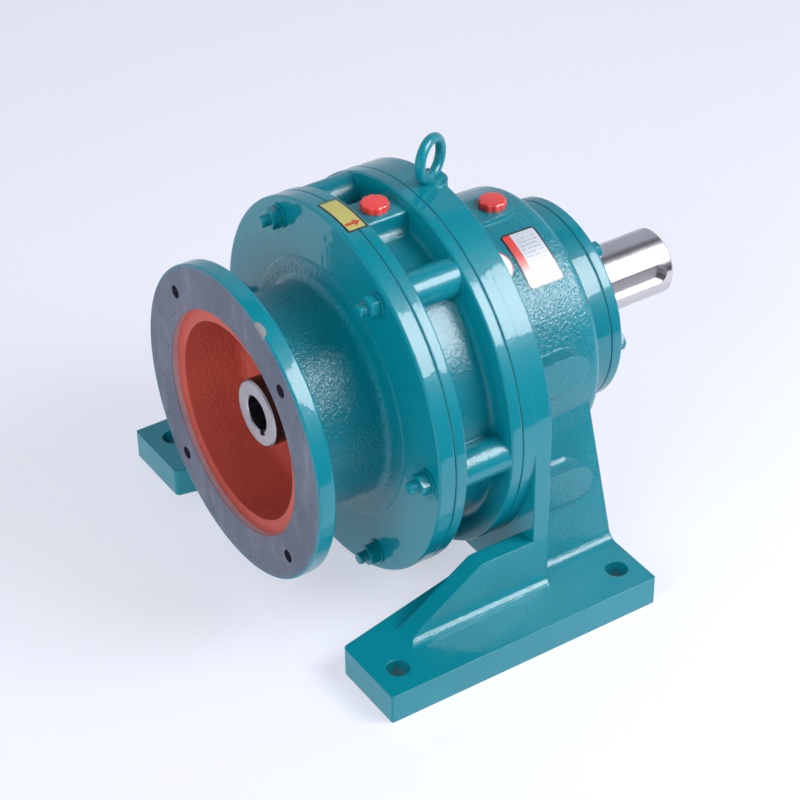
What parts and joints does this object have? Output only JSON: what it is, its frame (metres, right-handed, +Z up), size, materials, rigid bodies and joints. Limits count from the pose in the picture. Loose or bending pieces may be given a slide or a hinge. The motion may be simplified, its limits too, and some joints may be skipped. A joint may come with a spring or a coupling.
{
  "type": "cycloidal speed reducer",
  "caption": "Foot-mounted cycloidal speed reducer with a flanged motor cover, hollow keyed input, cycloid disc stage and solid keyed output shaft.",
  "frame": {"origin": "centre of the four foot bolts, on the plane that the feet stand on", "axes": "+X out of the output shaft along the shaft axis, +Z up, motor flange towards -X"},
  "size_m": [0.3982, 0.39, 0.3491],
  "materials": {
    "enamel": "glossy blue-green enamel over cast iron",
    "plug_red": "glossy moulded red plastic",
    "gasket_paper": "dark gasket paper",
    "seal_rubber": "black nitrile rubber",
    "shaft_steel": "ground steel",
    "hardened_steel": "hardened and ground bearing steel",
    "bearing_steel": "polished bearing steel",
    "cage_brass": "machined brass"
  },
  "bodies": {
    "housing": {"motor_cover": "enamel", "cover_gasket": "gasket_paper", "pin_housing": "enamel", "ring_pins": "hardened_steel", "ring_pin_sleeves": "hardened_steel", "base_gasket": "gasket_paper", "base_casing": "enamel", "output_cover": "enamel", "output_cover_gasket": "gasket_paper", "output_cover_bolts": "enamel", "output_oil_seal": "seal_rubber", "tie_studs": "enamel", "tie_nuts": "enamel", "tie_washers": "enamel", "eyebolt": "enamel", "fill_plug": "plug_red", "vent_plug": "plug_red", "input_oil_seal": "seal_rubber", "input_circlip": "hardened_steel", "input_bearing_outer": "bearing_steel", "front_bearing_outer": "bearing_steel", "rear_bearing_outer": "bearing_steel"},
    "input": {"input_shaft": "shaft_steel", "eccentric_sleeve": "hardened_steel", "eccentric_key": "hardened_steel", "eccentric_rollers": "hardened_steel", "eccentric_cages": "cage_brass", "front_spacer": "hardened_steel", "tail_spacer": "hardened_steel", "input_bearing_inner": "bearing_steel", "input_bearing_balls": "bearing_steel", "tail_bearing_inner": "bearing_steel", "tail_bearing_balls": "bearing_steel"},
    "disc_a": {"cycloid_disc_a": "hardened_steel"},
    "disc_b": {"cycloid_disc_b": "hardened_steel"},
    "output": {"output_shaft": "shaft_steel", "output_pins": "hardened_steel", "output_rollers": "hardened_steel", "disc_spacer_ring": "hardened_steel", "tail_bearing_outer": "bearing_steel", "front_bearing_inner": "bearing_steel", "front_bearing_balls": "bearing_steel", "rear_bearing_inner": "bearing_steel", "rear_bearing_balls": "bearing_steel"}
  },
  "joints": [
    {"name": "input_spin", "type": "hinge", "parent": "housing", "child": "input", "pos_m": [-0.1152, 0, 0.16], "axis": [1, 0, 0], "continuous": true},
    {"name": "disc_a_spin", "type": "hinge", "parent": "input", "child": "disc_a", "pos_m": [-0.0066, 0, 0.1565], "axis": [1, 0, 0], "continuous": true},
    {"name": "disc_b_spin", "type": "hinge", "parent": "input", "child": "disc_b", "pos_m": [-0.0066, 0, 0.1635], "axis": [1, 0, 0], "continuous": true},
    {"name": "output_spin", "type": "hinge", "parent": "housing", "child": "output", "pos_m": [0.2615, 0, 0.16], "axis": [1, 0, 0], "continuous": true}
  ],
  "couplings": [
    {"joint": "output_spin", "follows": "input_spin", "ratio": -0.058824},
    {"joint": "disc_a_spin", "follows": "input_spin", "ratio": -1.0588},
    {"joint": "disc_b_spin", "follows": "input_spin", "ratio": -1.0588}
  ]
}
